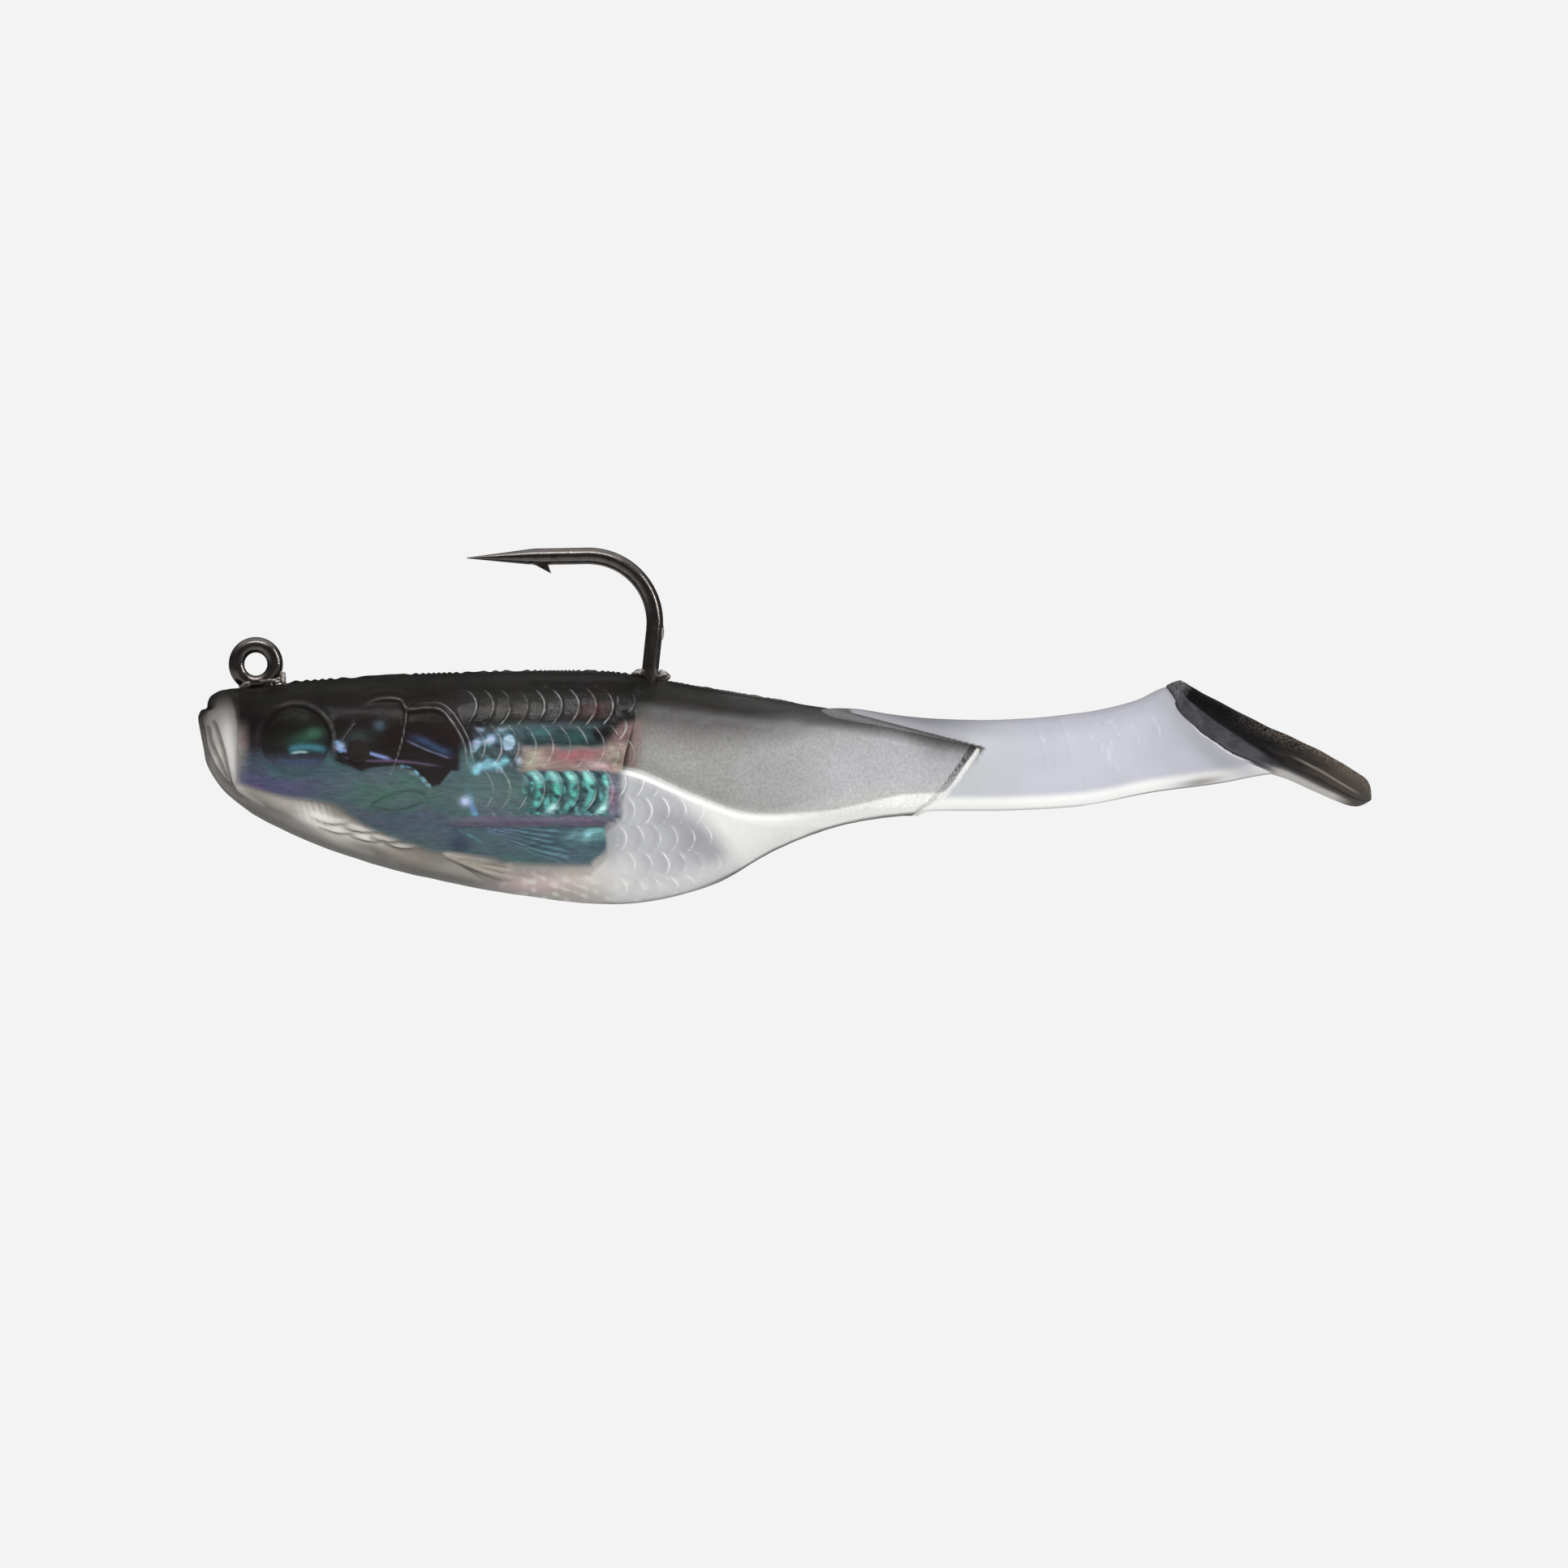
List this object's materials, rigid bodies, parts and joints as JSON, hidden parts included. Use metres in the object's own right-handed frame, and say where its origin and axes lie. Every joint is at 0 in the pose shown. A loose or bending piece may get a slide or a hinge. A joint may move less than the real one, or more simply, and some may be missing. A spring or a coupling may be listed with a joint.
{
  "type": "pre-rigged soft swimbait",
  "caption": "Soft swimbait: a clear fish-shaped casting round a lead head, foil flanks and a jig hook, with a bending pearl tail core and a dished kicker paddle.",
  "frame": {"origin": "centre of the line-tie eye's bore, in the middle plane", "axes": "+X runs from the nose to the tail, +Y points to one flank, and +Z towards the back and the hook's point"},
  "size_m": [0.1012, 0.0142, 0.0308],
  "materials": {
    "hook_wire": "polished black nickel",
    "lead": "as-cast lead",
    "foil": "iridescent film that turns from violet through teal to green",
    "eye": "domed clear resin over a dark pupil",
    "clear_body": "clear glossy soft plastic, smoke-dark along the back",
    "pearl_tail": "pearl-white soft plastic with a lavender cast",
    "smoke_paddle": "black soft plastic that thins to smoke at its free end"
  },
  "bodies": {
    "head_section": {"hook": "hook_wire", "head_weight": "lead", "left_foil": "foil", "right_foil": "foil", "left_eye": "eye", "right_eye": "eye", "front_body": "clear_body"},
    "rear_section": {"rear_body": "clear_body", "tail_core": "pearl_tail"},
    "tail_section": {"tail_web": "pearl_tail"},
    "paddle_section": {"paddle_root": "pearl_tail", "paddle": "smoke_paddle"}
  },
  "joints": [
    {"name": "body_flex", "type": "hinge", "parent": "head_section", "child": "rear_section", "pos_m": [0.0425, 0, -0.009], "axis": [0, 0, 1], "range_deg": [-12, 12], "stiffness_Nm_per_rad": 0.012},
    {"name": "tail_flex", "type": "hinge", "parent": "rear_section", "child": "tail_section", "pos_m": [0.068, 0, -0.0085], "axis": [0, 0, 1], "range_deg": [-25, 25], "stiffness_Nm_per_rad": 0.0009},
    {"name": "paddle_flex", "type": "hinge", "parent": "tail_section", "child": "paddle_section", "pos_m": [0.075, 0, -0.008], "axis": [0, 0, 1], "range_deg": [-35, 35], "stiffness_Nm_per_rad": 0.0007}
  ]
}
